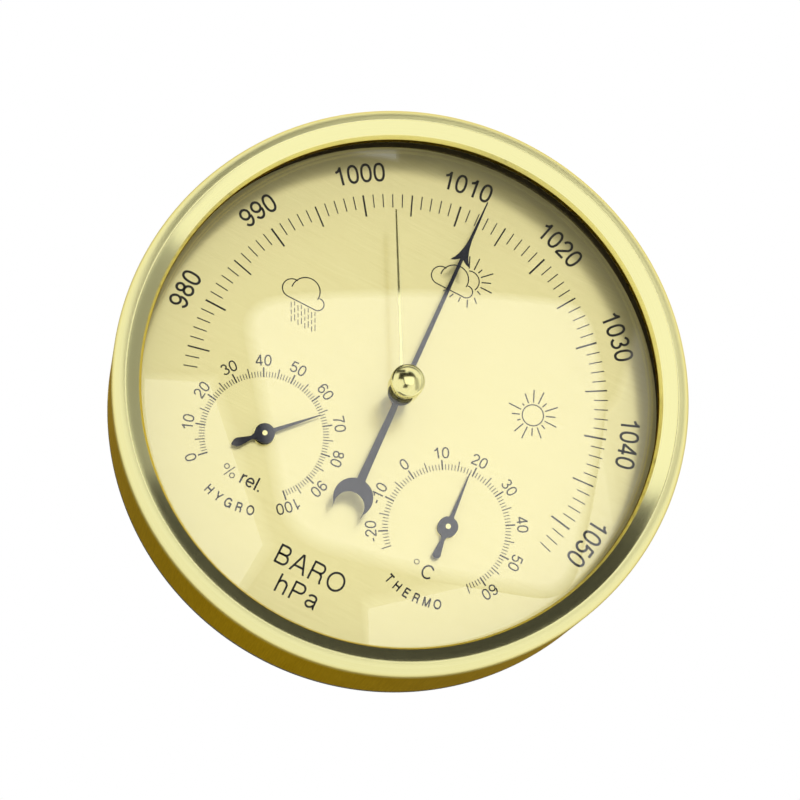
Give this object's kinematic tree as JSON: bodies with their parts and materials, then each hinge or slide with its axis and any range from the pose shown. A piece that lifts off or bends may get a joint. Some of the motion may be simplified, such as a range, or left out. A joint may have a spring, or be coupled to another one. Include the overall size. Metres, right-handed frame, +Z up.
{
  "type": "weather station",
  "caption": "Round wall weather station with a brass-coloured case, domed glass, barometer pointer with set hand and knob, and small thermometer and hygrometer dials.",
  "frame": {"origin": "centre of the case's flat back, on the wall plane and on the case axis", "axes": "+Y into the wall along the case axis, the dial looks towards -Y, +Z up, +X to the right as the dial is read"},
  "size_m": [0.132, 0.0446, 0.132],
  "materials": {
    "case_brass": "spun sheet, brushed and lacquered, polished rim",
    "glass": "clear domed glass",
    "gasket_rubber": "matt black",
    "black_metal": "black enamel",
    "dial_gold": "fine brushed pale gold under clear lacquer",
    "cover_plastic": "moulded, fine grain",
    "plated_steel": "zinc plated",
    "movement_brass": "stamped sheet and turned parts",
    "arbor_steel": "turned, fine",
    "spring_steel": "blued spring strip",
    "capsule_metal": "pressed nickel alloy",
    "hand_black": "blue-black, satin",
    "polished_brass": "polished",
    "coil_bimetal": "rolled strip",
    "coil_film": "rolled strip with a film on it"
  },
  "bodies": {
    "case": {"case_shell": "case_brass", "case_screws": "polished_brass", "glass": "glass", "glass_gasket": "gasket_rubber", "spacer_ring": "black_metal", "dial_plate": "dial_gold", "rear_cover": "cover_plastic", "hanger_plate": "plated_steel", "hanger_screws": "plated_steel", "base_plate": "movement_brass", "base_screws": "plated_steel", "long_pillars": "movement_brass", "lower_bridge": "movement_brass", "short_pillars": "movement_brass", "upper_bridge": "movement_brass", "frame_screws": "plated_steel", "rock_brackets": "movement_brass", "bracket_screws": "plated_steel", "leaf_block": "movement_brass", "carrier_leaf": "spring_steel", "leaf_screws": "plated_steel", "capsule_lower": "capsule_metal", "capsule_upper": "capsule_metal", "hairspring": "spring_steel", "hair_stud": "movement_brass", "glass_bush": "polished_brass", "bush_nut": "polished_brass", "thermo_bush": "polished_brass", "thermo_nut": "movement_brass", "thermo_cup": "plated_steel", "thermo_coil": "coil_bimetal", "hygro_bush": "polished_brass", "hygro_nut": "movement_brass", "hygro_cup": "plated_steel", "hygro_coil": "coil_film"},
    "sector": {"sector_gear": "movement_brass", "sector_arbor": "arbor_steel"},
    "pointer": {"pointer_arbor": "arbor_steel", "hair_collet": "movement_brass", "pointer_collet": "movement_brass", "main_pointer": "hand_black"},
    "rocker": {"rock_shaft": "arbor_steel"},
    "stud": {"capsule_stud": "movement_brass"},
    "setter": {"set_knob": "polished_brass", "set_arbor": "polished_brass", "set_hand": "polished_brass", "friction_washer": "plated_steel"},
    "thermometer": {"thermo_arbor": "polished_brass", "thermo_needle": "hand_black"},
    "hygrometer": {"hygro_arbor": "polished_brass", "hygro_needle": "hand_black"},
    "adjuster": {"adjust_screw": "movement_brass"}
  },
  "joints": [
    {"name": "sector_swing", "type": "hinge", "parent": "case", "child": "sector", "pos_m": [-0.021, -0.0175, 0], "axis": [0, -1, 0], "range_deg": [-11.79, 12.27]},
    {"name": "pointer_spin", "type": "hinge", "parent": "case", "child": "pointer", "pos_m": [0, -0.0175, 0], "axis": [0, -1, 0], "range_deg": [-110.5, 106.2], "deforming": ["hairspring"]},
    {"name": "rocker_swing", "type": "hinge", "parent": "case", "child": "rocker", "pos_m": [-0.027, -0.012, -0.0012], "axis": [1, 0, 0], "range_deg": [-17.75, 18.45]},
    {"name": "stud_travel", "type": "slide", "parent": "case", "child": "stud", "axis": [0, -1, 0], "range_m": [-0.00052, 0.0005], "deforming": ["capsule_upper"]},
    {"name": "set_spin", "type": "hinge", "parent": "case", "child": "setter", "pos_m": [0, -0.0412, 0], "axis": [0, -1, 0], "continuous": true},
    {"name": "thermo_spin", "type": "hinge", "parent": "case", "child": "thermometer", "pos_m": [0.0234, -0.0255, -0.0216], "axis": [0, -1, 0], "range_deg": [-138.9, 131.1], "deforming": ["thermo_coil"]},
    {"name": "hygro_spin", "type": "hinge", "parent": "case", "child": "hygrometer", "pos_m": [-0.0234, -0.0255, -0.0216], "axis": [0, -1, 0], "range_deg": [-90.99, 179.01], "deforming": ["hygro_coil"]},
    {"name": "adjuster_turn", "type": "hinge", "parent": "case", "child": "adjuster", "pos_m": [0, -0.002, -0.0028], "axis": [0, -1, 0], "range_deg": [-180, 180]}
  ],
  "couplings": [
    {"joint": "pointer_spin", "follows": "sector_swing", "ratio": -9},
    {"joint": "rocker_swing", "follows": "sector_swing", "ratio": 1.5},
    {"joint": "stud_travel", "follows": "sector_swing", "m_per_rad": -0.0024}
  ]
}
